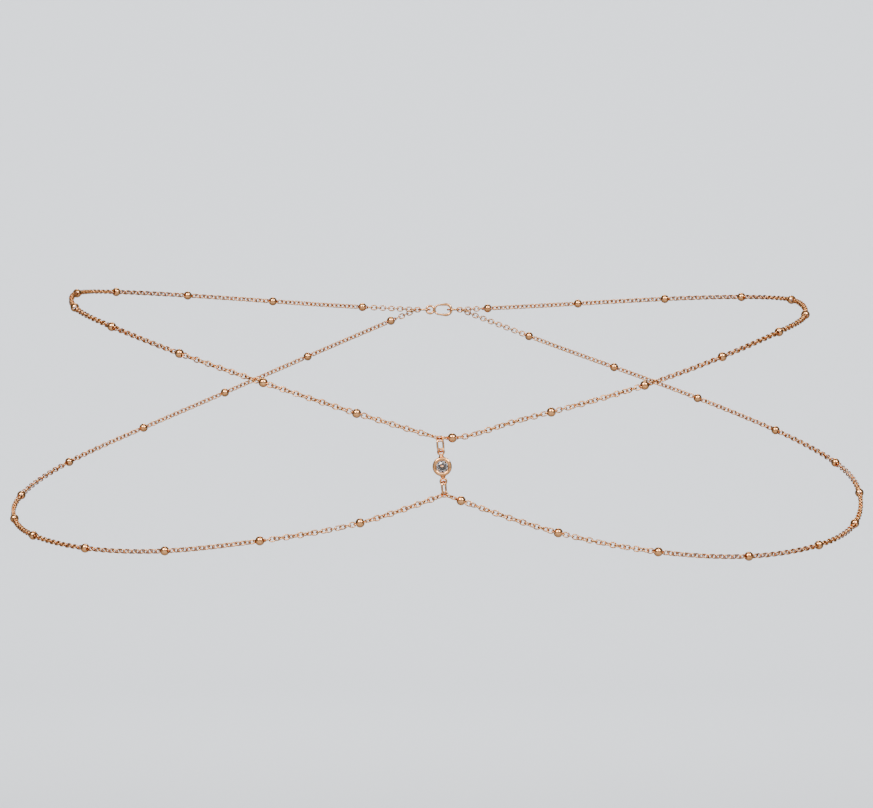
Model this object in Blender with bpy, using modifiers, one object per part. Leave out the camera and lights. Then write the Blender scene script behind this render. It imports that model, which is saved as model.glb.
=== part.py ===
"""Double waist chain with round beads and one stone drop, in metres, +Z up.

The wearer's belly is towards -Y and the closure at the back towards +Y. The origin is on the axis of the waist,
level with the link of the upper strand that the front drop hangs in. Each strand is a tube with the chain's route,
in a left and a right length that meet at the drop's link, and both strands end at one ring on each side of the clasp.
"""
import math

import bmesh
import bpy
import numpy as np
from mathutils import Matrix, Vector

# Gap between neighbouring pieces
CLEARANCE = 0.0003

# Strands: the tube that stands for the fine chain, and the chain link that a strand's two lengths meet at
CHAIN_DIAMETER = 0.0016
POINTS_PER_BEAD_PITCH = 3
CHAIN_LINK_LENGTH = 0.0029
CHAIN_LINK_WIDTH = 0.00235
CHAIN_LINK_WIRE = 0.00055

# Beads on the strands
BEAD_DIAMETER = 0.0034
BEAD_PITCH = 0.0370
BEAD_SIDES = 12
BEAD_ARC_STEPS = 6
LAST_BEAD_MARGIN = 0.0080

# Distance along each length of chain from the junction to its first bead
UPPER_LEFT_FIRST_BEAD = 0.0314
UPPER_RIGHT_FIRST_BEAD = 0.0045
LOWER_LEFT_FIRST_BEAD = 0.0321
LOWER_RIGHT_FIRST_BEAD = 0.0064

# Front drop: two oval links turned about its line, and the line's own lean, in degrees
DROP_LINK_LENGTH = 0.0055
DROP_LINK_WIDTH = 0.0042
DROP_LINK_WIRE = 0.00075
TOP_LINK_TURN = 52.0
BOTTOM_LINK_TURN = 67.0
DROP_LEAN = 4.8

# Setting: a round bezel with a necked loop at its top and bottom
BEZEL_DIAMETER = 0.0070
BEZEL_DEPTH = 0.0029
BEZEL_OPENING = 0.0042
BEZEL_LIP = 0.00045
BEZEL_BACK_OPENING = 0.0028
BEZEL_BACK_FLOOR = 0.0006
BEZEL_EDGE_ROUND = 0.0004
BEZEL_SIDES = 32
RIM_STEPS = 8
LOOP_DIAMETER = 0.0029
LOOP_WIRE = 0.00075
NECK_LENGTH = 0.0004
NECK_DIAMETER = 0.0017

# Stone: heights of its crown and pavilion, and the shares of them at which the facets break
STONE_DIAMETER = 0.0046
STONE_GIRDLE = 0.00016
STONE_CROWN = 0.00072
STONE_PAVILION = 0.0015
TABLE_SHARE = 0.55
CROWN_BREAK_SHARE = 0.56
PAVILION_BREAK_SHARE = 0.58
PAVILION_BREAK_RADIUS_SHARE = 0.45

# Closure at the centre of the back: two rings and one plain clasp
RING_DIAMETER = 0.0054
RING_WIRE = 0.0008
CLASP_LENGTH = 0.0112
CLASP_HOOK_WIDTH = 0.0054
CLASP_EYE_WIDTH = 0.0040
CLASP_THICKNESS = 0.0016
CLASP_HOOK_WALL = 0.0011
CLASP_EYE_WALL = 0.0009
CLASP_HOOK_OPENING = 0.0058
CLASP_EDGE_ROUND = 0.0003
CLASP_CENTRE = (0.0, 0.1005, 0.0510)
STRAND_GAP = 0.0008

# Centre of the link of the upper strand that the drop hangs in
UPPER_JUNCTION = (0.0002, -0.1000, 0.0)

# Routes of the four lengths of chain, from the junction round to the ring at the back.
# The junction and the end at the ring are worked out and aren't listed.
UPPER_LEFT_ROUTE = [
    (-0.0300, -0.0985, 0.0092),
    (-0.0640, -0.0895, 0.0203),
    (-0.0957, -0.0730, 0.0312),
    (-0.1226, -0.0490, 0.0416),
    (-0.1386, -0.0170, 0.0494),
    (-0.1412, 0.0120, 0.0548),
    (-0.1340, 0.0420, 0.0568),
    (-0.1140, 0.0680, 0.0567),
    (-0.0800, 0.0880, 0.0550),
    (-0.0400, 0.0980, 0.0525),
]
UPPER_RIGHT_ROUTE = [
    (0.0046, -0.1000, 0.0003),
    (0.0224, -0.0995, 0.0047),
    (0.0400, -0.0980, 0.0095),
    (0.0745, -0.0880, 0.0193),
    (0.1041, -0.0685, 0.0299),
    (0.1274, -0.0410, 0.0396),
    (0.1401, -0.0070, 0.0468),
    (0.1395, 0.0200, 0.0522),
    (0.1315, 0.0450, 0.0545),
    (0.1130, 0.0680, 0.0553),
    (0.0800, 0.0880, 0.0545),
    (0.0400, 0.0980, 0.0525),
]
LOWER_LEFT_ROUTE = [
    (-0.0285, -0.1000, -0.0303),
    (-0.0649, -0.0970, -0.0369),
    (-0.1000, -0.0860, -0.0409),
    (-0.1312, -0.0650, -0.0405),
    (-0.1530, -0.0350, -0.0366),
    (-0.1632, 0.0000, -0.0312),
    (-0.1635, 0.0360, -0.0227),
    (-0.1510, 0.0610, -0.0125),
    (-0.1270, 0.0800, -0.0005),
    (-0.0920, 0.0935, 0.0150),
    (-0.0510, 0.1000, 0.0330),
]
LOWER_RIGHT_ROUTE = [
    (0.0420, -0.0975, -0.0337),
    (0.0791, -0.0955, -0.0409),
    (0.1131, -0.0810, -0.0430),
    (0.1411, -0.0565, -0.0396),
    (0.1573, -0.0245, -0.0325),
    (0.1624, 0.0100, -0.0217),
    (0.1585, 0.0390, -0.0125),
    (0.1430, 0.0640, -0.0020),
    (0.1180, 0.0820, 0.0095),
    (0.0850, 0.0945, 0.0225),
    (0.0480, 0.1000, 0.0360),
]

# Looks: base colour, roughness and metallic value
ROSE_GOLD = ((0.86, 0.55, 0.38), 0.22, 1.0)
CLEAR_CRYSTAL = ((0.86, 0.89, 0.94), 0.03, 0.0)


def clear_scene():
    """Remove every object, so that the script gives the same result in any file."""
    for item in list(bpy.data.objects):
        bpy.data.objects.remove(item, do_unlink=True)


def make_collection(name):
    """New collection linked to the scene."""
    group = bpy.data.collections.new(name)
    bpy.context.scene.collection.children.link(group)
    return group


def make_material(name, look):
    """Principled material from a look."""
    colour, roughness, metallic = look
    material = bpy.data.materials.new(name)
    material.use_nodes = True
    shader = material.node_tree.nodes["Principled BSDF"]
    shader.inputs["Base Color"].default_value = (*colour, 1.0)
    shader.inputs["Roughness"].default_value = roughness
    shader.inputs["Metallic"].default_value = metallic
    return material


def add_object(name, data, look, group, matrix=None):
    """Link a mesh or curve as an object with its own material, placed by a matrix."""
    item = bpy.data.objects.new(name, data)
    group.objects.link(item)
    if matrix is not None:
        item.matrix_world = matrix
    item.data.materials.clear()
    item.data.materials.append(make_material(name + "_finish", look))
    return item


def frame_matrix(centre, x_axis, y_axis, z_axis):
    """Matrix that carries the local axes to three unit vectors at a place."""
    turn = Matrix((x_axis, y_axis, z_axis)).transposed()
    return Matrix.Translation(centre) @ turn.to_4x4()


def smooth_route(points, steps=24):
    """Dense points on the natural cubic spline through the points, with chord length as its parameter."""
    knots = np.array(points, float)
    chords = np.linalg.norm(np.diff(knots, axis=0), axis=1)
    count = len(knots)
    system = np.eye(count)
    right = np.zeros((count, 3))
    for i in range(1, count - 1):
        before, after = chords[i - 1], chords[i]
        system[i, i - 1:i + 2] = (before, 2.0 * (before + after), after)
        right[i] = 6.0 * ((knots[i + 1] - knots[i]) / after - (knots[i] - knots[i - 1]) / before)
    bend = np.linalg.solve(system, right)
    dense = [knots[:1]]
    for i in range(count - 1):
        span = chords[i]
        t = (np.arange(1, steps + 1) / steps * span)[:, None]
        slope = (knots[i + 1] - knots[i]) / span - span * (2.0 * bend[i] + bend[i + 1]) / 6.0
        dense.append(knots[i] + slope * t + bend[i] * t ** 2 / 2.0
                     + (bend[i + 1] - bend[i]) * t ** 3 / (6.0 * span))
    return np.concatenate(dense)


def route_lengths(dense):
    """Distance along the dense points at each of them."""
    return np.concatenate([[0.0], np.cumsum(np.linalg.norm(np.diff(dense, axis=0), axis=1))])


def route_point(dense, lengths, distance):
    """Point at a distance along the route."""
    return Vector([float(np.interp(distance, lengths, dense[:, k])) for k in range(3)])


def route_direction(dense, lengths, distance):
    """Unit direction of the route at a distance along it."""
    reach = CHAIN_LINK_WIRE
    ahead = route_point(dense, lengths, distance + reach)
    behind = route_point(dense, lengths, distance - reach)
    return (ahead - behind).normalized()


def bead_distances(length, first_bead):
    """Distances of the beads along a length of chain: evenly spaced from the first one."""
    count = int((length - LAST_BEAD_MARGIN - first_bead) / BEAD_PITCH) + 1
    return [first_bead + k * BEAD_PITCH for k in range(count)]


def chain_tube(name, dense, lengths, beads, group):
    """Tube along the route, with a point at each bead and even points between beads."""
    start = CHAIN_LINK_LENGTH / 2.0 + CLEARANCE
    marks = [start] + beads + [float(lengths[-1])]
    step = BEAD_PITCH / POINTS_PER_BEAD_PITCH
    places = [start]
    for low, high in zip(marks[:-1], marks[1:]):
        count = max(1, round((high - low) / step))
        places += [low + (high - low) * k / count for k in range(1, count + 1)]
    curve = bpy.data.curves.new(name, "CURVE")
    curve.dimensions = "3D"
    curve.bevel_depth = CHAIN_DIAMETER / 2.0
    curve.bevel_resolution = 2
    curve.use_fill_caps = True
    spline = curve.splines.new("POLY")
    spline.points.add(len(places) - 1)
    for point, distance in zip(spline.points, places):
        point.co = (*route_point(dense, lengths, distance), 1.0)
    return add_object(name, curve, ROSE_GOLD, group)


def profile_mesh(name, outline):
    """Closed outline in the XZ plane as a loop of edges, for a Screw modifier."""
    mesh = bpy.data.meshes.new(name)
    edges = [(i, (i + 1) % len(outline)) for i in range(len(outline))]
    mesh.from_pydata([(x, 0.0, z) for x, z in outline], edges, [])
    return mesh


def turn_profile(item, sides):
    """Turn an object's profile round its local Z axis."""
    screw = item.modifiers.new("turned", "SCREW")
    screw.axis = "Z"
    screw.steps = sides
    screw.render_steps = sides
    screw.use_merge_vertices = True
    screw.merge_threshold = 0.00001
    screw.use_smooth_shade = False


def bead_mesh():
    """Profile of a drilled ball: its round side from top to bottom, closed by the straight bore."""
    radius = BEAD_DIAMETER / 2.0
    bore = CHAIN_DIAMETER / 2.0 + CLEARANCE
    top = math.acos(bore / radius)
    angles = [top - 2.0 * top * k / BEAD_ARC_STEPS for k in range(BEAD_ARC_STEPS + 1)]
    return profile_mesh("bead", [(radius * math.cos(a), radius * math.sin(a)) for a in angles])


def add_bead(name, mesh, centre, direction, group):
    """Bead with its bore along the chain."""
    matrix = Matrix.Translation(centre) @ direction.to_track_quat("Z", "Y").to_matrix().to_4x4()
    item = add_object(name, mesh, ROSE_GOLD, group, matrix)
    turn_profile(item, BEAD_SIDES)
    return item


def oval_points(length, width, wire, turns=8):
    """Centre line of an oval link in the XZ plane: two half circles joined by straight sides along Z."""
    radius = (width - wire) / 2.0
    rise = (length - width) / 2.0
    angles = [math.pi * k / turns for k in range(turns + 1)]
    top = [(radius * math.cos(a), 0.0, rise + radius * math.sin(a)) for a in angles]
    bottom = [(-x, 0.0, -z) for x, y, z in top]
    return top + bottom


def oval_link(name, length, width, wire, matrix, group):
    """Closed wire link of round section, long side along its local Z."""
    curve = bpy.data.curves.new(name, "CURVE")
    curve.dimensions = "3D"
    curve.bevel_depth = wire / 2.0
    curve.bevel_resolution = 1
    spline = curve.splines.new("POLY")
    path = oval_points(length, width, wire)
    spline.points.add(len(path) - 1)
    for point, place in zip(spline.points, path):
        point.co = (*place, 1.0)
    spline.use_cyclic_u = True
    return add_object(name, curve, ROSE_GOLD, group, matrix)


def drop_axes():
    """Unit vectors of the drop: across it, away from the wearer and up its line."""
    lean = math.radians(DROP_LEAN)
    up = Vector((-math.sin(lean), 0.0, math.cos(lean)))
    away = Vector((0.0, -1.0, 0.0))
    return up.cross(away), away, up


def drop_point(distance):
    """Point on the drop's line, a distance below the upper junction link."""
    across, away, up = drop_axes()
    return Vector(UPPER_JUNCTION) - up * distance


def loop_distance():
    """Distance from the bezel's centre to the centre of a loop."""
    return BEZEL_DIAMETER / 2.0 + NECK_LENGTH + LOOP_DIAMETER / 2.0


def drop_distances():
    """Distances below the upper junction link of the drop's pieces.

    Each oval link is hooked over the junction link's wire at one end and over a loop's wire at the other.
    """
    link_end = CHAIN_LINK_WIDTH / 2.0 - CHAIN_LINK_WIRE - CLEARANCE - DROP_LINK_WIRE
    link_centre = link_end + DROP_LINK_LENGTH / 2.0
    loop_hold = LOOP_DIAMETER / 2.0 - LOOP_WIRE - CLEARANCE - DROP_LINK_WIRE
    loop_centre = link_centre + DROP_LINK_LENGTH / 2.0 + loop_hold
    middle = loop_centre + loop_distance()
    return {"top_link": link_centre, "setting": middle, "bottom_link": 2.0 * middle - link_centre,
            "lower_junction": 2.0 * middle}


def junction_link(name, centre, group):
    """Chain link where a strand's two lengths meet, long side along the strand."""
    across, away, up = drop_axes()
    matrix = frame_matrix(centre, up, away, across)
    return oval_link(name, CHAIN_LINK_LENGTH, CHAIN_LINK_WIDTH, CHAIN_LINK_WIRE, matrix, group)


def drop_link(name, distance, turn, group):
    """Oval link of the drop, turned about the drop's line."""
    across, away, up = drop_axes()
    matrix = frame_matrix(drop_point(distance), across, -away, up)
    matrix = matrix @ Matrix.Rotation(math.radians(turn), 4, "Z")
    return oval_link(name, DROP_LINK_LENGTH, DROP_LINK_WIDTH, DROP_LINK_WIRE, matrix, group)


def stone_heights():
    """Heights above the bezel's back of the stone's girdle, table and point, set by the lip that holds it."""
    under_lip = BEZEL_DEPTH - BEZEL_LIP - CLEARANCE
    girdle = under_lip - STONE_GIRDLE - STONE_CROWN / 2.0
    return {"girdle": girdle, "table": girdle + STONE_GIRDLE / 2.0 + STONE_CROWN,
            "point": girdle - STONE_GIRDLE / 2.0 - STONE_PAVILION}


def bezel_outline():
    """Section of the bezel: seat under the stone, lip over it, round rim, outer wall and open back."""
    outer = BEZEL_DIAMETER / 2.0
    lip = BEZEL_OPENING / 2.0
    seat = STONE_DIAMETER / 2.0 + CLEARANCE
    back = BEZEL_BACK_OPENING / 2.0
    lip_height = BEZEL_DEPTH - BEZEL_LIP
    seat_height = stone_heights()["girdle"] - STONE_GIRDLE
    rim_middle = (outer + lip) / 2.0
    rim_radius = (outer - lip) / 2.0
    rim_height = BEZEL_DEPTH - rim_radius
    angles = [math.pi * (1.0 - k / RIM_STEPS) for k in range(1, RIM_STEPS + 1)]
    rim = [(rim_middle + rim_radius * math.cos(a), rim_height + rim_radius * math.sin(a)) for a in angles]
    rim = [(x, max(z, lip_height)) if x < rim_middle else (x, z) for x, z in rim]
    inside = [(back, 0.0), (back, BEZEL_BACK_FLOOR), (seat, seat_height), (seat, lip_height - CLEARANCE),
              (lip, lip_height)]
    return inside + rim + [(outer, BEZEL_EDGE_ROUND), (outer - BEZEL_EDGE_ROUND, 0.0)]


def join_shape(body, piece, cutters):
    """Union a hidden shape into a body."""
    for group in list(piece.users_collection):
        group.objects.unlink(piece)
    cutters.objects.link(piece)
    piece.hide_render = True
    piece.display_type = "WIRE"
    union = body.modifiers.new("joined", "BOOLEAN")
    union.operation = "UNION"
    union.object = piece


def loop_shape(matrix, side):
    """Round loop above or below the bezel, in the bezel's own plane."""
    wire = LOOP_WIRE / 2.0
    bpy.ops.mesh.primitive_torus_add(major_segments=16, minor_segments=8,
                                     major_radius=LOOP_DIAMETER / 2.0 - wire, minor_radius=wire)
    loop = bpy.context.object
    loop.matrix_world = matrix @ Matrix.Translation((0.0, side * loop_distance(), BEZEL_DEPTH / 2.0))
    return loop


def neck_shape(matrix, side):
    """Short round bar from inside the bezel's rim to inside the loop's wire."""
    inner = (BEZEL_DIAMETER + BEZEL_OPENING) / 4.0
    outer = loop_distance() - (LOOP_DIAMETER - LOOP_WIRE) / 2.0
    bpy.ops.mesh.primitive_cylinder_add(vertices=12, radius=NECK_DIAMETER / 2.0, depth=outer - inner)
    neck = bpy.context.object
    middle = Matrix.Translation((0.0, side * (outer + inner) / 2.0, BEZEL_DEPTH / 2.0))
    neck.matrix_world = matrix @ middle @ Matrix.Rotation(math.radians(90.0), 4, "X")
    return neck


def setting(matrix, group, cutters):
    """Bezel with its two necked loops, soldered into one solid."""
    body = add_object("setting", profile_mesh("setting", bezel_outline()), ROSE_GOLD, group, matrix)
    turn_profile(body, BEZEL_SIDES)
    for side in (1.0, -1.0):
        join_shape(body, loop_shape(matrix, side), cutters)
        join_shape(body, neck_shape(matrix, side), cutters)
    return body


def crystal(matrix, group):
    """Round brilliant cut: eight-sided table, crown, thin girdle and pointed pavilion."""
    radius = STONE_DIAMETER / 2.0
    table = radius * TABLE_SHARE
    heights = stone_heights()
    above = heights["girdle"] + STONE_GIRDLE / 2.0
    below = heights["girdle"] - STONE_GIRDLE / 2.0
    half_step = math.pi / 8.0
    rings = [
        (table, heights["table"], 8, 0.0),
        ((table + radius) / 2.0, above + STONE_CROWN * CROWN_BREAK_SHARE, 8, half_step),
        (radius, above, 16, 0.0),
        (radius, below, 16, 0.0),
        (radius * PAVILION_BREAK_RADIUS_SHARE, below - STONE_PAVILION * PAVILION_BREAK_SHARE, 8, half_step),
        (0.0, heights["point"], 1, 0.0),
    ]
    cut = bmesh.new()
    for reach, height, count, offset in rings:
        for k in range(count):
            angle = offset + 2.0 * math.pi * k / count
            cut.verts.new((reach * math.cos(angle), reach * math.sin(angle), height))
    bmesh.ops.convex_hull(cut, input=cut.verts)
    mesh = bpy.data.meshes.new("crystal")
    cut.to_mesh(mesh)
    cut.free()
    return add_object("crystal", mesh, CLEAR_CRYSTAL, group, matrix)


def clasp_places():
    """Places along X from the clasp's centre: the outer ends of its two openings and the rings hooked in them."""
    eye_edge = CLASP_EYE_WALL - CLASP_LENGTH / 2.0
    hook_edge = CLASP_LENGTH / 2.0 - CLASP_HOOK_WALL
    ring_inner = RING_DIAMETER / 2.0 - RING_WIRE
    reach = math.sqrt((ring_inner - CLEARANCE) ** 2 - (CLASP_THICKNESS / 2.0) ** 2)
    return {"eye_edge": eye_edge, "hook_edge": hook_edge,
            "left_ring": eye_edge - reach, "right_ring": hook_edge + reach}


def arc_points(centre, radius, start, stop, steps):
    """Points on an arc of a flat outline, from one angle to another in degrees."""
    angles = [math.radians(start + (stop - start) * k / steps) for k in range(steps + 1)]
    return [(centre + radius * math.cos(a), radius * math.sin(a)) for a in angles]


def clasp_outlines():
    """Pear-shaped outside of the clasp, its round eye and its long opening."""
    places = clasp_places()
    eye_radius = CLASP_EYE_WIDTH / 2.0
    hook_radius = CLASP_HOOK_WIDTH / 2.0
    eye_centre = eye_radius - CLASP_LENGTH / 2.0
    hook_centre = CLASP_LENGTH / 2.0 - hook_radius
    lean = math.degrees(math.asin((hook_radius - eye_radius) / (hook_centre - eye_centre)))
    outside = (arc_points(hook_centre, hook_radius, -90.0 - lean, 90.0 + lean, 12)
               + arc_points(eye_centre, eye_radius, 90.0 + lean, 270.0 - lean, 8))
    eye_hole = eye_radius - CLASP_EYE_WALL
    eye = arc_points(places["eye_edge"] + eye_hole, eye_hole, 0.0, 330.0, 11)
    hook_hole = hook_radius - CLASP_HOOK_WALL
    far = places["hook_edge"] - hook_hole
    near = places["hook_edge"] - CLASP_HOOK_OPENING + hook_hole
    opening = arc_points(far, hook_hole, -90.0, 90.0, 8) + arc_points(near, hook_hole, 90.0, 270.0, 8)
    return outside, eye, opening


def clasp(group):
    """Flat pear-shaped clasp plate with an eye for one ring and a long opening for the other."""
    curve = bpy.data.curves.new("clasp", "CURVE")
    curve.dimensions = "2D"
    curve.fill_mode = "BOTH"
    curve.extrude = CLASP_THICKNESS / 2.0
    for outline in clasp_outlines():
        spline = curve.splines.new("POLY")
        spline.points.add(len(outline) - 1)
        for point, (x, z) in zip(spline.points, outline):
            point.co = (x, z, 0.0, 1.0)
        spline.use_cyclic_u = True
    matrix = Matrix.Translation(CLASP_CENTRE) @ Matrix.Rotation(math.radians(90.0), 4, "X")
    plate = add_object("clasp_plate", curve, ROSE_GOLD, group, matrix)
    bpy.context.view_layer.update()
    mesh = bpy.data.meshes.new_from_object(plate.evaluated_get(bpy.context.evaluated_depsgraph_get()))
    bpy.data.objects.remove(plate, do_unlink=True)
    welded = bmesh.new()
    welded.from_mesh(mesh)
    bmesh.ops.remove_doubles(welded, verts=welded.verts, dist=0.00001)
    welded.to_mesh(mesh)
    welded.free()
    item = add_object("clasp", mesh, ROSE_GOLD, group, matrix)
    edge = item.modifiers.new("rounded edge", "BEVEL")
    edge.width = CLASP_EDGE_ROUND
    edge.segments = 1
    edge.limit_method = "ANGLE"
    edge.angle_limit = math.radians(60.0)
    return item


def end_ring(name, x, group):
    """Round ring lying level, hooked through the clasp."""
    bpy.ops.mesh.primitive_torus_add(major_segments=16, minor_segments=6,
                                     major_radius=(RING_DIAMETER - RING_WIRE) / 2.0, minor_radius=RING_WIRE / 2.0)
    made = bpy.context.object
    mesh = made.data
    bpy.data.objects.remove(made, do_unlink=True)
    return add_object(name, mesh, ROSE_GOLD, group, Matrix.Translation(Vector(CLASP_CENTRE) + Vector((x, 0.0, 0.0))))


def strand_end(side, depth_side):
    """End of a strand's tube just outside a ring: the two strands lie side by side in Y there."""
    places = clasp_places()
    ring = places["left_ring"] if side < 0.0 else places["right_ring"]
    x = ring + side * (RING_DIAMETER / 2.0 + CLEARANCE)
    y = depth_side * (CHAIN_DIAMETER + STRAND_GAP) / 2.0
    return Vector(CLASP_CENTRE) + Vector((x, y, 0.0))


def strand_length(name, junction, route, end, first_bead, group):
    """One length of chain and its beads, from the junction link round to the ring at the back."""
    dense = smooth_route([junction] + [Vector(point) for point in route] + [end])
    lengths = route_lengths(dense)
    beads = bead_distances(float(lengths[-1]), first_bead)
    chain_tube(name, dense, lengths, beads, group)
    for number, distance in enumerate(beads, start=1):
        bead_name = name.replace("chain", "bead") + f"_{number:02d}"
        centre = route_point(dense, lengths, distance)
        add_bead(bead_name, bead_mesh(), centre, route_direction(dense, lengths, distance), group)


def build():
    """Build the whole waist chain."""
    clear_scene()
    parts = make_collection("waist_chain")
    cutters = make_collection("joined_shapes")

    distances = drop_distances()
    upper_junction = Vector(UPPER_JUNCTION)
    lower_junction = drop_point(distances["lower_junction"])
    strand_length("upper_chain_left", upper_junction, UPPER_LEFT_ROUTE, strand_end(-1.0, -1.0),
                  UPPER_LEFT_FIRST_BEAD, parts)
    strand_length("upper_chain_right", upper_junction, UPPER_RIGHT_ROUTE, strand_end(1.0, -1.0),
                  UPPER_RIGHT_FIRST_BEAD, parts)
    strand_length("lower_chain_left", lower_junction, LOWER_LEFT_ROUTE, strand_end(-1.0, 1.0),
                  LOWER_LEFT_FIRST_BEAD, parts)
    strand_length("lower_chain_right", lower_junction, LOWER_RIGHT_ROUTE, strand_end(1.0, 1.0),
                  LOWER_RIGHT_FIRST_BEAD, parts)

    junction_link("upper_junction_link", upper_junction, parts)
    junction_link("lower_junction_link", lower_junction, parts)
    drop_link("top_link", distances["top_link"], TOP_LINK_TURN, parts)
    drop_link("bottom_link", distances["bottom_link"], BOTTOM_LINK_TURN, parts)

    across, away, up = drop_axes()
    back_face = drop_point(distances["setting"]) - away * (BEZEL_DEPTH / 2.0)
    placed = frame_matrix(back_face, across, up, away)
    setting(placed, parts, cutters)
    crystal(placed, parts)

    places = clasp_places()
    clasp(parts)
    end_ring("end_ring_left", places["left_ring"], parts)
    end_ring("end_ring_right", places["right_ring"], parts)


build()
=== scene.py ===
"""Looks of a double waist chain in rose gold: cable chain, round beads, one stone drop and a plain clasp.

Lengths are metres, +Z is up and the belly is towards -Y, as in the packed frame.
"""

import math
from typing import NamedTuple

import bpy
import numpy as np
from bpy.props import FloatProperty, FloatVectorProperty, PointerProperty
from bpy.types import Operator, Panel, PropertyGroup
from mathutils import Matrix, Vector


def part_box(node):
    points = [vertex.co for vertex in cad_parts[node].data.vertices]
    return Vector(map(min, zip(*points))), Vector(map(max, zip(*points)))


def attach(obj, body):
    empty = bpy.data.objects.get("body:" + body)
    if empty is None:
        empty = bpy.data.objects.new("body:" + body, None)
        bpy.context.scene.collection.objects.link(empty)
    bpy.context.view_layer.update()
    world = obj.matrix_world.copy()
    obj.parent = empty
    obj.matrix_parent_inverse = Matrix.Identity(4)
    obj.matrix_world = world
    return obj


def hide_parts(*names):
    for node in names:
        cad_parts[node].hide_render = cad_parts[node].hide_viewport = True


bl_info = {
    "name": "Waist Chain",
    "version": (1, 0, 0),
    "blender": (4, 5, 0),
    "location": "3D View > Sidebar > Waist Chain",
    "description": "Builds the links, beads, stone drop and clasp of a double waist chain",
    "category": "Add Mesh",
}

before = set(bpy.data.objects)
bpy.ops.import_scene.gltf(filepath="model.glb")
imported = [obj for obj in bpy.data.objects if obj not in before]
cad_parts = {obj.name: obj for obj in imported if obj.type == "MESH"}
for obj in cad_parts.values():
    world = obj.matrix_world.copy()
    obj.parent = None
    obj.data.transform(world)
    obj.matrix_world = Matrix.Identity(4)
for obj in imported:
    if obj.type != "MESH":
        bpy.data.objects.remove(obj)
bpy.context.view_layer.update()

# Mesh steps: round a chain link and its wire, round a bead and down its side
LINK_STEPS = 14
WIRE_SIDES = 6
BEAD_SIDES = 28
BEAD_STEPS = 16

# Mesh steps: round a large link or ring and its wire, round the bezel, over its rim and its back edge,
# round a neck and along it, and round the clasp's outlines
FINE_STEPS = 64
FINE_SIDES = 16
BEZEL_SIDES = 96
RIM_STEPS = 25
EDGE_STEPS = 7
NECK_SIDES = 32
NECK_STEPS = 17
CLASP_STEPS = 72

# Steps of a strand's line between two points of its route
LINE_STEPS = 240

# Angles in degrees past which an edge of a bead, of the cast pieces and of the stone stays sharp
BEAD_CREASE = 50.0
CAST_CREASE = 40.0
STONE_CREASE = 1.0

# Seed of the links' small loose turns
LOOSE_SEED = 7

# Play between a link's wire and the ring that it is hooked in
LINK_SLACK = 0.00005

# Share of the link spacing that a stretch may be too long for its number of links
PITCH_PLAY = 0.05

# A neck's rounded end as a share of its loop's wire, and the radius of the hidden pinhole along its middle
NECK_TIP = 0.8
NECK_POLE = 0.00002

# Fold of the stone's symmetry
FOLD = 8

# The clasp: the power that fills out its section, its eye's thickness as a share of the body's, and the small
# stretch that keeps the eye's two circles apart
SECTION_POWER = 0.75
EYE_THICKNESS = 0.92
EYE_PLAY = 0.00001


class Stretch(NamedTuple):
    """Turns of the links between two beads, in degrees about the chain; 0 shows a link's face in front."""
    first_turn: float
    turn_per_link: float


class Strand(NamedTuple):
    """One length of chain from its junction link to its ring, with the nodes that it meets.

    Its line starts lift above the junction link's middle, and its first link stands first_turn degrees from
    the junction link's plane. Both are chosen so that the links at the junction overlap little. It ends to
    the front of its ring's middle where depth_side is -1, and to the back where it is 1.
    """
    junction: str
    ring: str
    beads: str
    depth_side: float
    lift: float
    first_turn: float
    route: list
    stretches: list


# Turns of the stretches past the last listed one
SIDE_STRETCH = Stretch(45.0, 90.0)

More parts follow.
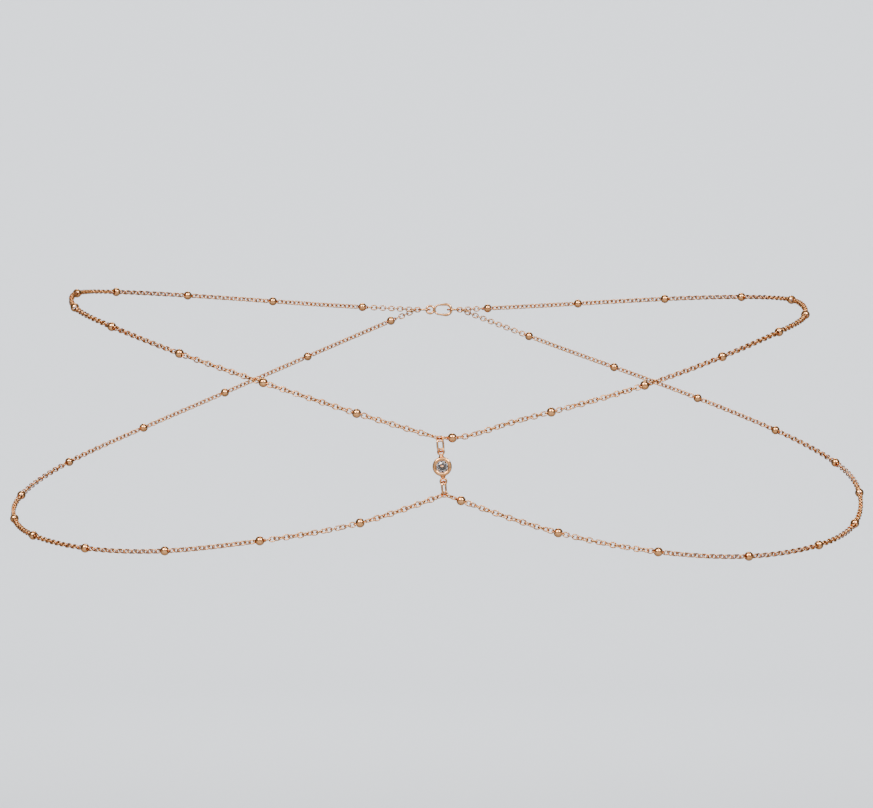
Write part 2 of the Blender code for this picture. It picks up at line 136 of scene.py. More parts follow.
# Routes of the four lengths of chain, the same points as the part's own, and their front stretches
STRANDS = {
    "upper_chain_left": Strand(
        "upper_junction_link", "end_ring_left", "upper_bead_left_", -1.0, 0.0001, -66.0,
        [
            (-0.0300, -0.0985, 0.0092), (-0.0640, -0.0895, 0.0203), (-0.0957, -0.0730, 0.0312),
            (-0.1226, -0.0490, 0.0416), (-0.1386, -0.0170, 0.0494), (-0.1412, 0.0120, 0.0548),
            (-0.1340, 0.0420, 0.0568), (-0.1140, 0.0680, 0.0567), (-0.0800, 0.0880, 0.0550),
            (-0.0400, 0.0980, 0.0525),
        ],
        [Stretch(5.0, 60.0), Stretch(0.0, 61.0), Stretch(10.0, 60.0)],
    ),
    "upper_chain_right": Strand(
        "upper_junction_link", "end_ring_right", "upper_bead_right_", -1.0, 0.0004, -72.0,
        [
            (0.0046, -0.1000, 0.0003), (0.0224, -0.0995, 0.0047), (0.0400, -0.0980, 0.0095),
            (0.0745, -0.0880, 0.0193), (0.1041, -0.0685, 0.0299), (0.1274, -0.0410, 0.0396),
            (0.1401, -0.0070, 0.0468), (0.1395, 0.0200, 0.0522), (0.1315, 0.0450, 0.0545),
            (0.1130, 0.0680, 0.0553), (0.0800, 0.0880, 0.0545), (0.0400, 0.0980, 0.0525),
        ],
        [Stretch(0.0, 60.0), Stretch(108.0, 72.0), Stretch(20.0, 68.0)],
    ),
    "lower_chain_left": Strand(
        "lower_junction_link", "end_ring_left", "lower_bead_left_", 1.0, 0.0, 60.0,
        [
            (-0.0285, -0.1000, -0.0303), (-0.0649, -0.0970, -0.0369), (-0.1000, -0.0860, -0.0409),
            (-0.1312, -0.0650, -0.0405), (-0.1530, -0.0350, -0.0366), (-0.1632, 0.0000, -0.0312),
            (-0.1635, 0.0360, -0.0227), (-0.1510, 0.0610, -0.0125), (-0.1270, 0.0800, -0.0005),
            (-0.0920, 0.0935, 0.0150), (-0.0510, 0.1000, 0.0330),
        ],
        [Stretch(60.0, 60.0), Stretch(15.0, 64.0)],
    ),
    "lower_chain_right": Strand(
        "lower_junction_link", "end_ring_right", "lower_bead_right_", 1.0, 0.0, 66.0,
        [
            (0.0420, -0.0975, -0.0337), (0.0791, -0.0955, -0.0409), (0.1131, -0.0810, -0.0430),
            (0.1411, -0.0565, -0.0396), (0.1573, -0.0245, -0.0325), (0.1624, 0.0100, -0.0217),
            (0.1585, 0.0390, -0.0125), (0.1430, 0.0640, -0.0020), (0.1180, 0.0820, 0.0095),
            (0.0850, 0.0945, 0.0225), (0.0480, 0.1000, 0.0360),
        ],
        [Stretch(60.0, 60.0), Stretch(-20.0, 62.0), Stretch(20.0, 70.0)],
    ),
}


class Noise(NamedTuple):
    """A noise pattern: its cells in a metre, its detail and its scale along the piece's axes."""
    scale: float
    detail: float
    stretch: tuple = (1.0, 1.0, 1.0)


# Patterns of the plating's colour and polish, of the marks that tumbling leaves, of the stone and the paper
PLATING_CLOUD = Noise(330.0, 3.0)
PLATING_POLISH = Noise(1700.0, 4.0)
TUMBLING_MARKS = Noise(9000.0, 2.0, (1.0, 1.0, 0.35))
STONE_CLOUD = Noise(1500.0, 2.0)
PAPER_TOOTH = Noise(900.0, 3.0)

# The stretch of a noise's values that is spread over the range wanted
NOISE_LOW = 0.3
NOISE_HIGH = 0.7

# Share by which the plating's roughness varies, the strength of its marks, and their depth by kind of piece
POLISH_SPREAD = 0.33
MARKS_STRENGTH = 0.35
GRAIN = {"chain": 0.00001, "bead": 0.000004, "cast": 0.00001}

# Most roughness of the stone, and the paper's roughness with the strength and depth of its tooth
STONE_ROUGHNESS = 0.03
PAPER_ROUGHNESS = 0.9
TOOTH_STRENGTH = 0.1
TOOTH_DEPTH = 0.0001

# Stage: radius of the level floor and of the cove that leads up from it, height of the wall above, and steps
FLOOR_RADIUS = 3.0
COVE_RADIUS = 1.0
WALL_HEIGHT = 1.5
FLOOR_SIDES = 96
COVE_STEPS = 16

# Camera: its sensor's width in millimetres, and the nearest and farthest distance that it sees
SENSOR_WIDTH = 36.0
CLIP_START = 0.05
CLIP_END = 20.0


class Softbox(NamedTuple):
    """A square light: its place, what it is aimed at, its side, its power and its colour."""
    place: tuple
    target: tuple
    size: float
    power: float
    colour: tuple


CHAIN_MIDDLE = (0.0, 0.0, 0.0)
BACK_WALL = (0.0, 4.0, 0.2)
FRONT_WALL = (0.0, -4.0, 0.2)

SOFTBOXES = [
    Softbox((-0.75, -1.10, 1.05), CHAIN_MIDDLE, 0.60, 28.0, (1.0, 0.98, 0.96)),
    Softbox((0.80, -1.00, 0.95), CHAIN_MIDDLE, 0.50, 20.0, (1.0, 0.99, 0.98)),
    Softbox((0.0, -1.30, 1.70), CHAIN_MIDDLE, 1.60, 10.0, (1.0, 0.99, 0.97)),
    Softbox((0.0, 1.90, 2.40), BACK_WALL, 1.60, 180.0, (1.0, 1.0, 1.0)),
    Softbox((0.0, -1.90, 2.40), FRONT_WALL, 1.60, 110.0, (1.0, 1.0, 1.0)),
]


def metres(name, description, default):
    """Setting of a length or place in metres."""
    return FloatProperty(name=name, description=description, default=default, unit="LENGTH")


def degrees(name, description, default):
    """Setting of an angle, its default in degrees."""
    return FloatProperty(name=name, description=description, default=math.radians(default), unit="ROTATION")


def fraction(name, description, default):
    """Setting of a share between nothing and the whole."""
    return FloatProperty(name=name, description=description, default=default, subtype="FACTOR")


def tint(name, description, default):
    """Setting of a colour."""
    return FloatVectorProperty(name=name, description=description, default=default, subtype="COLOR")


class ChainSizes(PropertyGroup):
    """Sizes of the cable chain's links."""
    length: metres("Link length", "Outside length of a link", 0.0029)
    width: metres("Link width", "Outside width of a link", 0.00235)
    wire: metres("Link wire", "Wire diameter of a link", 0.00055)
    pitch: metres("Link spacing", "Widest spacing of two links' centres", 0.00178)
    junction_reach: metres("Junction reach", "Centre distance of a junction link and the next link", 0.00182)
    bead_reach: metres("Bead reach", "Centre distance of a bead and the next link", 0.00292)
    long_length: metres("Long link length", "Outside length of a bead's long link", 0.0052)
    long_width: metres("Long link width", "Outside width of a bead's long link", 0.00148)
    long_wire: metres("Long link wire", "Wire diameter of a bead's long link", 0.00042)
    loose_turn: degrees("Loose turn", "Most that a link's turn strays from the even twist", 4.0)
    strand_offset: metres("Strand offset", "Distance of a strand's end from the middle of its ring", 0.0012)


class BeadSizes(PropertyGroup):
    """Sizes of a round bead."""
    diameter: metres("Bead diameter", "Diameter of a bead", 0.0034)
    bore: metres("Bead bore", "Diameter of the hole through a bead", 0.0016)
    mouth: metres("Bore edge", "Width of the eased edge at the bore's mouth", 0.00008)


class DropSizes(PropertyGroup):
    """Sizes of the front drop's links and setting."""
    link_length: metres("Drop link length", "Outside length of an oval link of the drop", 0.0055)
    link_width: metres("Drop link width", "Outside width of an oval link of the drop", 0.0042)
    link_wire: metres("Drop link wire", "Wire diameter of the drop's links", 0.00075)
    top_turn: degrees("Top link turn", "Turn of the top link about the drop's line", 52.0)
    bottom_turn: degrees("Bottom link turn", "Turn of the bottom link about the drop's line", 67.0)
    bezel_diameter: metres("Bezel diameter", "Outside diameter of the bezel", 0.0070)
    bezel_depth: metres("Bezel depth", "Depth of the bezel from back to front", 0.0029)
    opening: metres("Bezel opening", "Diameter of the opening that shows the stone", 0.0042)
    lip: metres("Bezel lip", "Thickness of the lip over the stone", 0.00045)
    back_opening: metres("Back opening", "Diameter of the hole behind the stone", 0.0028)
    back_floor: metres("Back floor", "Thickness of the bezel's floor round the back hole", 0.0006)
    edge_round: metres("Back edge", "Radius of the bezel's back edges", 0.0004)
    loop_diameter: metres("Loop diameter", "Outside diameter of the setting's loops", 0.0029)
    loop_wire: metres("Loop wire", "Wire diameter of the setting's loops", 0.00075)
    neck: metres("Neck width", "Narrowest width of the neck under a loop", 0.0016)
    neck_flare: metres("Neck flare", "How much a neck's radius grows into the bezel", 0.00025)
    neck_length: metres("Neck length", "Gap between the bezel and a loop", 0.0004)


class StoneCut(PropertyGroup):
    """Sizes of the round brilliant cut."""
    diameter: metres("Stone diameter", "Diameter at the girdle", 0.0046)
    girdle: metres("Girdle", "Thickness of the girdle", 0.00016)
    crown: metres("Crown", "Height of the crown", 0.00072)
    pavilion: metres("Pavilion", "Depth of the pavilion", 0.0015)
    table: fraction("Table", "Table as a share of the diameter", 0.55)
    star: fraction("Star", "Reach of the star facets from table to girdle", 0.5)
    lower_half: fraction("Lower half", "Radius at which the pavilion's facets meet, as a share", 0.45)
    seat: metres("Seat clearance", "Gap between the stone and its lip", 0.0003)


class ClaspSizes(PropertyGroup):
    """Sizes of the clasp."""
    hook_width: metres("Hook width", "Width of the clasp's wide end", 0.0054)
    eye_width: metres("Eye width", "Width of the clasp's eye end", 0.0040)
    hook_wall: metres("Hook wall", "Wall round the long opening", 0.0011)
    eye_wall: metres("Eye wall", "Wall round the eye", 0.0009)
    opening: metres("Opening length", "Length of the long opening", 0.0058)
    waist: metres("Body end width", "Width of the body where it meets the eye", 0.0045)


class GoldFinish(PropertyGroup):
    """Looks of the rose-gold plating."""
    colour: tint("Gold", "Colour of the plating", (0.93, 0.49, 0.22))
    deep: tint("Deep gold", "Colour of the plating where it is handled less", (0.82, 0.38, 0.15))
    edge: tint("Edge tint", "Tint of the plating's reflections at a flat angle", (0.95, 0.64, 0.40))
    # Painted shade: the links' plating is darkened beside the beads', as if the wires shaded one another
    chain_painted_shade: fraction("Chain shade", "Brightness of the links' plating beside that of the beads", 0.8)
    chain_roughness: fraction("Chain roughness", "Roughness of the links", 0.24)
    bead_roughness: fraction("Bead roughness", "Roughness of the beads", 0.09)
    cast_roughness: fraction("Setting roughness", "Roughness of the setting, rings and clasp", 0.18)


class StoneFinish(PropertyGroup):
    """Looks of the clear stone."""
    colour: tint("Stone", "Colour of the stone", (0.93, 0.95, 1.0))
    refraction: FloatProperty(name="Refraction", description="Index of refraction of the stone", default=2.16)


class StageSetup(PropertyGroup):
    """Camera, floor and sky."""
    camera_distance: metres("Camera distance", "Distance from the camera to the axis of the waist", 1.6)
    camera_height: metres("Camera height", "Height of the camera", 0.0125)
    camera_side: metres("Camera side", "Camera's place to the right of the middle", -0.001)
    lens: FloatProperty(name="Lens", description="Focal length in millimetres", default=171.8)
    floor_height: metres("Floor height", "Height of the floor", -0.30)
    floor_colour: tint("Floor colour", "Colour of the floor and wall", (0.60, 0.62, 0.65))
    # Painted reflection: colours the paper shows only to metal and stone, grey in front and dark behind, for
    # shade
    front_painted_reflection: tint("Front card", "Backdrop in front, as metal and stone mirror it", (0.42, 0.42, 0.42))
    back_painted_reflection: tint("Back card", "Backdrop behind, as metal and stone mirror it", (0.08, 0.08, 0.08))
    painted_reflection_border: metres("Card border", "Half the depth in which the front card turns into the back card", 0.5)
    sky_colour: tint("Sky colour", "Colour of the even light from all round", (0.90, 0.95, 1.0))
    sky_strength: FloatProperty(name="Sky strength", description="Strength of the even light", default=0.25)


def unit(rows):
    """Rows divided by their own length."""
    return rows / np.linalg.norm(rows, axis=-1, keepdims=True)


def middle_of(node):
    """Centre of a node's box as an array."""
    low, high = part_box(node)
    return np.array((low + high) / 2.0)


def circle_angles(steps):
    """Even angles of one full turn."""
    return 2.0 * math.pi * np.arange(steps) / steps


def arc(radius, angles):
    """Points of a circle round the origin at angles a: radius * (cos(a), sin(a))."""
    return radius * np.stack([np.cos(angles), np.sin(angles)], axis=-1)


def grid_quads(rows, columns, closed=True):
    """Quads between neighbouring points of a grid that is numbered row by row.

    Each row's last point joins its first, and the last row joins the first one where the shape is closed.
    """
    row = np.arange(rows if closed else rows - 1)[:, None]
    column = np.arange(columns)[None, :]
    next_row = (row + 1) % rows
    next_column = (column + 1) % columns
    corners = [row * columns + column, next_row * columns + column,
               next_row * columns + next_column, row * columns + next_column]
    return np.stack(corners, axis=-1).reshape(-1, 4)


def carried(line, across, section):
    """Closed section carried round a closed line in the XY plane.

    For each point (swell, rise) of the section, point = line + swell * across + rise * Z.
    """
    flat = line[:, None] + section[:, :1] * across[:, None]
    height = np.broadcast_to(section[:, 1:], (*flat.shape[:2], 1))
    return np.concatenate([flat, height], axis=-1).reshape(-1, 3), grid_quads(len(line), len(section))


def oval_line(length, width, wire, steps):
    """Centre line of an oval link in its plane, and the outward direction at each point.

    Half a turn of radius (width - wire) / 2 round each end, the ends (length - width) apart: a point is the
    end's centre plus radius times the outward direction.
    """
    half = steps // 2
    turn = np.linspace(-math.pi / 2.0, math.pi / 2.0, half)
    out = arc(1.0, np.concatenate([turn, turn + math.pi]))
    points = (width - wire) / 2.0 * out
    points[:, 0] += np.repeat([1.0, -1.0], half) * (length - width) / 2.0
    return points, out


def link_shape(length, width, wire, steps=FINE_STEPS, sides=FINE_SIDES):
    """One link with its long side along local X and its width along Y.

    A wire circle is carried round the oval line: point = line + wire / 2 * (cos(a) * outward + sin(a) * Z).
    """
    return carried(*oval_line(length, width, wire, steps), arc(wire / 2.0, circle_angles(sides)))


def ring_shape(diameter, wire):
    """Round ring in the local XY plane: a wire circle carried round one of radius (diameter - wire) / 2."""
    out = arc(1.0, circle_angles(FINE_STEPS))
    return carried((diameter - wire) / 2.0 * out, out, arc(wire / 2.0, circle_angles(FINE_SIDES)))


def band_shape(outer, inner, thickness):
    """Closed band between two matched outlines, with a full round section.

    The section is a superellipse, middle + half width * c(a) * across + half thickness * s(a) * Z, where c
    and s are cos and sin with their size, and not their sign, raised to SECTION_POWER.
    """
    circle = arc(1.0, circle_angles(FINE_SIDES))
    section = np.sign(circle) * np.abs(circle) ** SECTION_POWER * (1.0, thickness / 2.0)
    return carried((outer + inner) / 2.0, (outer - inner) / 2.0, section)


def turned_shape(profile, sides, closed=True):
    """Profile of (radius, height) points turned round local Z: point = (r cos(a), r sin(a), z).

    The faces point outwards where the profile's outer side runs from top to bottom.
    """
    around = circle_angles(sides)
    radius, height = profile[:, :1], profile[:, 1:]
    points = np.stack([radius * np.cos(around), radius * np.sin(around),
                       np.broadcast_to(height, (len(profile), sides))], axis=-1)
    return points.reshape(-1, 3), grid_quads(len(profile), sides, closed)


def placed(points, centre, x_axis, y_axis, z_axis):
    """Local points carried to a place and three axes; arrays of places give a copy of the points for each."""
    axes = np.stack([x_axis, y_axis, z_axis], axis=-2)
    return np.asarray(centre)[..., None, :] + points @ axes


def repeated(faces, copies, points_each):
    """Faces of a shape for a number of copies of it, one after the other."""
    return (faces[None] + points_each * np.arange(copies)[:, None, None]).reshape(-1, faces.shape[-1])


def joined(shapes):
    """Several (points, faces) shapes as one."""
    starts = np.cumsum([0] + [len(points) for points, _ in shapes[:-1]])
    points = np.concatenate([points for points, _ in shapes])
    faces = np.concatenate([faces + start for (_, faces), start in zip(shapes, starts)])
    return points, faces


def smooth_line(knots):
    """Points on the natural cubic spline through the knots, with chord length as its parameter.

    Its second derivatives M solve before * M[i-1] + 2 * (before + after) * M[i] + after * M[i+1] = 6 * change
    of slope, with M = 0 at both ends.
    """
    chord = np.linalg.norm(np.diff(knots, axis=0), axis=1)
    slope = np.diff(knots, axis=0) / chord[:, None]
    system = np.diag(np.concatenate([[1.0], 2.0 * (chord[:-1] + chord[1:]), [1.0]]))
    system += np.diag(np.append(chord[:-1], 0.0), -1)
    system += np.diag(np.append(0.0, chord[1:]), 1)
    right = np.zeros_like(knots)
    right[1:-1] = 6.0 * np.diff(slope, axis=0)
    bend = np.linalg.solve(system, right)
    t = chord[:, None, None] * (np.arange(LINE_STEPS) / LINE_STEPS)[None, :, None]
    first = slope - chord[:, None] * (2.0 * bend[:-1] + bend[1:]) / 6.0
    third = np.diff(bend, axis=0) / (6.0 * chord[:, None])
    points = knots[:-1, None] + first[:, None] * t + bend[:-1, None] * t ** 2 / 2.0 + third[:, None] * t ** 3
    return np.concatenate([points.reshape(-1, 3), knots[-1:]])


def line_lengths(line):
    """Distance along the line at each of its points."""
    return np.append(0.0, np.cumsum(np.linalg.norm(np.diff(line, axis=0), axis=1)))


def line_points(line, lengths, distances):
    """Points of the line at distances along it."""
    return np.stack([np.interp(distances, lengths, line[:, k]) for k in range(3)], axis=-1)


def line_axes(line, lengths, distances, reach):
    """Directions along the line, upright and to its side, at distances along it.

    Along leads from reach before to reach after, upright is Z less its part along, side is across both.
    """
    ahead = line_points(line, lengths, distances + reach)
    along = unit(ahead - line_points(line, lengths, distances - reach))
    upright = unit(np.array((0.0, 0.0, 1.0)) - along * along[..., 2:])
    return along, upright, np.cross(along, upright)


def set_sockets(node, values):
    """Give a node's input sockets their values, and hand the node back."""
    for name, value in values.items():
        node.inputs[name].default_value = value
    return node


def make_material(name, colour, roughness, metallic):
    """Principled material, with its nodes and links, for the looks functions to add to."""
    material = bpy.data.materials.new(name)
    material.use_nodes = True
    nodes = material.node_tree.nodes
    values = {"Base Color": (*colour, 1.0), "Roughness": roughness, "Metallic": metallic}
    return material, nodes, material.node_tree.links, set_sockets(nodes["Principled BSDF"], values)


def noise_value(nodes, links, pattern):
    """A noise pattern over the object's own coordinates, as an output socket from 0 to 1."""
    place = nodes.new("ShaderNodeTexCoord")
    turned = set_sockets(nodes.new("ShaderNodeMapping"), {"Scale": pattern.stretch})
    noise = set_sockets(nodes.new("ShaderNodeTexNoise"), {"Scale": pattern.scale, "Detail": pattern.detail})
    links.new(place.outputs["Object"], turned.inputs["Vector"])
    links.new(turned.outputs["Vector"], noise.inputs["Vector"])
    return noise.outputs["Fac"]


def ranged(nodes, links, value, low, high, start=NOISE_LOW, stop=NOISE_HIGH):
    """Value spread from [start, stop] to [low, high]."""
    limits = {"From Min": start, "From Max": stop, "To Min": low, "To Max": high}
    spread = set_sockets(nodes.new("ShaderNodeMapRange"), limits)
    links.new(value, spread.inputs["Value"])
    return spread.outputs["Result"]


def mixed_colour(nodes, links, share, first, second):
    """Colour that goes from the first to the second with a share from 0 to 1, as an output socket.

    The second may be a colour or another output socket.
    """
    mix = nodes.new("ShaderNodeMix")
    mix.data_type = "RGBA"
    mix.inputs["A"].default_value = (*first, 1.0)
    if isinstance(second, bpy.types.NodeSocket):
        links.new(second, mix.inputs["B"])
    else:
        mix.inputs["B"].default_value = (*second, 1.0)
    links.new(share, mix.inputs["Factor"])
    return mix.outputs["Result"]


def add_relief(nodes, links, shader, pattern, strength, depth):
    """Give a shader the bump of a noise pattern, depth metres deep."""
    bump = set_sockets(nodes.new("ShaderNodeBump"), {"Strength": strength, "Distance": depth})
    links.new(noise_value(nodes, links, pattern), bump.inputs["Height"])
    links.new(bump.outputs["Normal"], shader.inputs["Normal"])


def gold_material(name, finish, painted_shade, roughness, grain):
    """Rose-gold plating: cloudy colour, uneven polish and fine tumbling marks.

    Noise 3 mm wide leads from the plating's colour to its deeper one, noise 0.6 mm wide varies the roughness
    by a third, and a fine stretched noise is the bump of the tumbling marks, grain metres deep. Both colours
    are dimmed by the painted shade: darker plating that stands for shade, not a different metal.
    """
    # Painted shade: both plating colours are darkened by the painted shade factor
    colour, deep = (tuple(painted_shade * channel for channel in plating) for plating in (finish.colour, finish.deep))
    material, nodes, links, shader = make_material(name, colour, roughness, 1.0)
    set_sockets(shader, {"Specular Tint": (*finish.edge, 1.0)})
    cloud = ranged(nodes, links, noise_value(nodes, links, PLATING_CLOUD), 0.0, 1.0)
    links.new(mixed_colour(nodes, links, cloud, colour, deep), shader.inputs["Base Color"])
    low, high = roughness * (1.0 - POLISH_SPREAD), roughness * (1.0 + POLISH_SPREAD)
    polish = ranged(nodes, links, noise_value(nodes, links, PLATING_POLISH), low, high)
    links.new(polish, shader.inputs["Roughness"])
    add_relief(nodes, links, shader, TUMBLING_MARKS, MARKS_STRENGTH, grain)
    return material


def shared_gold(context, kind):
    """The gold material of a kind of piece: chain, bead or cast. It is made once."""
    name = "rose_gold_" + kind
    if name in bpy.data.materials:
        return bpy.data.materials[name]
    finish = context.scene.waist_chain_gold
    # Only the links get painted shade; the beads and cast pieces keep the plating's full brightness
    painted_shade = finish.chain_painted_shade if kind == "chain" else 1.0
    return gold_material(name, finish, painted_shade, getattr(finish, kind + "_roughness"), GRAIN[kind])


def stone_material(finish):
    """Clear cut stone: full transmission with a faint cloud in its polish."""
    material, nodes, links, shader = make_material("clear_stone", finish.colour, 0.0, 0.0)
    set_sockets(shader, {"Transmission Weight": 1.0, "IOR": finish.refraction})
    cloud = ranged(nodes, links, noise_value(nodes, links, STONE_CLOUD), 0.0, STONE_ROUGHNESS)
    links.new(cloud, shader.inputs["Roughness"])
    return material


def backdrop_material(stage):
    """Matt pale paper with a fine tooth, painted darker only where polished metal and the stone mirror it.

    In reflections alone the paper shows a painted reflection, grey before the chain and dark behind it,
    standing for shade round the chain, so that its wires have bright middles and dark edges against the
    paper. The two painted parts meet softly above the chain.
    """
    material, nodes, links, shader = make_material("pale_paper", stage.floor_colour, PAPER_ROUGHNESS, 0.0)
    # Painted reflection: glossy and transmission rays see the painted colours instead of the paper's own
    path = nodes.new("ShaderNodeLightPath")
    painted_reflection_mask = nodes.new("ShaderNodeMath")
    painted_reflection_mask.operation = "MAXIMUM"
    links.new(path.outputs["Is Glossy Ray"], painted_reflection_mask.inputs[0])
    links.new(path.outputs["Is Transmission Ray"], painted_reflection_mask.inputs[1])
    place = nodes.new("ShaderNodeTexCoord")
    parts = nodes.new("ShaderNodeSeparateXYZ")
    links.new(place.outputs["Object"], parts.inputs["Vector"])
    behind = ranged(nodes, links, parts.outputs["Y"], 0.0, 1.0, -stage.painted_reflection_border, stage.painted_reflection_border)
    # Painted reflection: grey in front of the chain, dark behind it, blended across the border
    painted_reflection = mixed_colour(nodes, links, behind, stage.front_painted_reflection, stage.back_painted_reflection)
    paper = mixed_colour(nodes, links, painted_reflection_mask.outputs["Value"], stage.floor_colour, painted_reflection)
    links.new(paper, shader.inputs["Base Color"])
    add_relief(nodes, links, shader, PAPER_TOOTH, TOOTH_STRENGTH, TOOTH_DEPTH)
    return material


def make_object(name, points, faces):
    """Object at the origin with a mesh of these points and faces."""
    mesh = bpy.data.meshes.new(name)
    mesh.from_pydata(points.tolist(), [], faces if isinstance(faces, list) else faces.tolist())
    mesh.validate()
    item = bpy.data.objects.new(name, mesh)
    bpy.context.scene.collection.objects.link(item)
    return item


def finish_piece(item, material, nodes, crease=None):
    """Give a piece its material, shading and body, and let it stand for its nodes.

    crease is the angle in degrees past which an edge stays sharp; without it the piece is smooth all over.
    """
    if item.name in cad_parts:
        raise RuntimeError(f"{item.name} has a node's name")
    item.data.materials.clear()
    item.data.materials.append(material)
    item.data.shade_smooth()
    if crease is not None:
        item.data.set_sharp_from_angle(angle=math.radians(crease))
    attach(item, "root")
    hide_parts(*nodes)


def fused(name, shapes):
    """Shapes soldered into one closed mesh by a Boolean union."""
    body = make_object(name, *shapes[0])
    for number, shape in enumerate(shapes[1:], start=1):
        piece = make_object(f"{name}_joined_{number}", *shape)
        union = body.modifiers.new("soldered", "BOOLEAN")
        union.operation = "UNION"
        union.object = piece
        bpy.context.view_layer.update()
        graph = bpy.context.evaluated_depsgraph_get()
        mesh = bpy.data.meshes.new_from_object(body.evaluated_get(graph))
        body.modifiers.clear()
        body.data = mesh
        bpy.data.objects.remove(piece, do_unlink=True)
    body.data.name = name
    return body


def strand_line(strand, sizes):
    """Dense centre line of a length of chain, from its junction link to the link hooked in its ring."""
    low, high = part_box(strand.ring)
    ring = np.array((low + high) / 2.0)
    radius = (high.x - low.x) / 2.0
    ring_wire = high.z - low.z
    side = math.copysign(1.0, ring[0])
    end = ring + np.array((side * (radius + sizes.wire / 2.0), strand.depth_side * sizes.strand_offset, 0.0))
    hold = radius - ring_wire + sizes.length / 2.0 - sizes.wire - LINK_SLACK
    hook = ring + hold * unit(end - ring)
    start = middle_of(strand.junction) + np.array((0.0, 0.0, strand.lift))
    return np.concatenate([smooth_line(np.array([start, *strand.route, end])), hook[None]])


def strand_places(strand, sizes):
    """A strand's line and its lengths, and its beads' nodes, centres and distances along the line."""
    line = strand_line(strand, sizes)
    lengths = line_lengths(line)
    names = sorted(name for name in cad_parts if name.startswith(strand.beads))
    centres = np.array([middle_of(name) for name in names])
    nearest = np.argmin(np.linalg.norm(line[None] - centres[:, None], axis=2), axis=1)
    return line, lengths, names, centres, lengths[nearest]


def even_places(start, stop, pitch):
    """The fewest even distances from start to stop within the pitch, or their middle if they are close."""
    if stop - start < pitch / 2.0:
        return np.array([(start + stop) / 2.0])
    return np.linspace(start, stop, math.ceil((stop - start) / pitch - PITCH_PLAY) + 1)


def link_layout(strand, lengths, beads, sizes):
    """Distances and turns of a strand's links, and the turns of the long links in its beads.

    Turns go up by the stretch's own step. In the last stretch they are counted from the ring, whose link
    stands upright. A long link stands a quarter turn off the middle of its two neighbours' turns, or midway
    between them where they are more than a quarter turn apart.
    """
    shake = np.random.default_rng(LOOSE_SEED)
    starts = np.append(sizes.junction_reach, beads + sizes.bead_reach)
    stops = np.append(beads - sizes.bead_reach, lengths[-1])
    places, turns = [], []
    for number, (start, stop) in enumerate(zip(starts, stops)):
        spots = even_places(start, stop, sizes.pitch)
        stretch = strand.stretches[number] if number < len(strand.stretches) else SIDE_STRETCH
        steps = np.arange(len(spots))
        first = stretch.first_turn
        if number == len(starts) - 1:
            first = -stretch.turn_per_link * steps[-1]
        turn = np.radians(first + stretch.turn_per_link * steps)
        turn[:-1] += shake.uniform(-sizes.loose_turn, sizes.loose_turn, len(spots) - 1)
        if number == 0:
            turn[0] = math.radians(strand.first_turn)
        places.append(spots)
        turns.append(turn)
    before = np.array([turn[-1] for turn in turns[:-1]])
    after = np.array([turn[0] for turn in turns[1:]])
    midway = (before + after) / 2.0
    near = np.abs(np.sin((before - after) / 2.0)) < math.sin(math.pi / 4.0)
    return np.concatenate(places), np.concatenate(turns), np.where(near, midway + math.pi / 2.0, midway)


def links_at(shape, points, axes, turns):
    """Copies of a link at points of the line, each turned about it.

    A link's width lies along cos(turn) * upright + sin(turn) * side.
    """
    along, upright, side = axes
    width = np.cos(turns)[:, None] * upright + np.sin(turns)[:, None] * side
    copies = placed(shape[0], points, along, width, np.cross(along, width))
    return copies.reshape(-1, 3), repeated(shape[1], len(points), len(shape[0]))


class WAISTCHAIN_OT_strands(Operator):
    """Hang the interlocked links of the four lengths of chain along their routes"""
    bl_idname = "waist_chain.strands"
    bl_label = "Cable Chain"

    def execute(self, context):
        sizes = context.scene.waist_chain_links
        link = link_shape(sizes.length, sizes.width, sizes.wire, LINK_STEPS, WIRE_SIDES)
        long_link = link_shape(sizes.long_length, sizes.long_width, sizes.long_wire, LINK_STEPS, WIRE_SIDES)
        gold = shared_gold(context, "chain")
        for node, strand in STRANDS.items():
            line, lengths, _, centres, beads = strand_places(strand, sizes)
            places, turns, long_turns = link_layout(strand, lengths, beads, sizes)
            link_points = line_points(line, lengths, places)
            shapes = [
                links_at(link, link_points, line_axes(line, lengths, places, sizes.wire), turns),
                links_at(long_link, centres, line_axes(line, lengths, beads, sizes.wire), long_turns),
            ]
            item = make_object(node.replace("chain", "links"), *joined(shapes))
            finish_piece(item, gold, [node])
        return {"FINISHED"}


class WAISTCHAIN_OT_beads(Operator):
    """Thread a polished bead on each long link"""
    bl_idname = "waist_chain.beads"
    bl_label = "Beads"

    def bead_profile(self, sizes):
        """Ball with a straight bore, as (radius, height) points.

        The ball is an arc from mouth to mouth, and an eased edge leads from it to each end of the bore.
        """
        radius, bore = sizes.diameter / 2.0, sizes.bore / 2.0
        top = math.acos((bore + sizes.mouth) / radius)
        ball = arc(radius, np.linspace(top, -top, BEAD_STEPS))
        inside = ball[-1, 1] + sizes.mouth
        return np.concatenate([ball, [[bore, inside], [bore, -inside]]])

    def execute(self, context):
        chain = context.scene.waist_chain_links
        points, faces = turned_shape(self.bead_profile(context.scene.waist_chain_beads), BEAD_SIDES)
        gold = shared_gold(context, "bead")
        for strand in STRANDS.values():
            line, lengths, names, centres, beads = strand_places(strand, chain)
            along, upright, side = line_axes(line, lengths, beads, chain.wire)
            for name, copy in zip(names, placed(points, centres, upright, side, along)):
                item = make_object(name.replace("_bead", "") + "_ball", copy, faces)
                finish_piece(item, gold, [name], crease=BEAD_CREASE)
        return {"FINISHED"}


def drop_axes():
    """Unit vectors of the drop: across it, up its line and away from the wearer."""
    up = unit(middle_of("upper_junction_link") - middle_of("lower_junction_link"))
    away = np.array((0.0, -1.0, 0.0))
    return np.cross(up, away), up, away


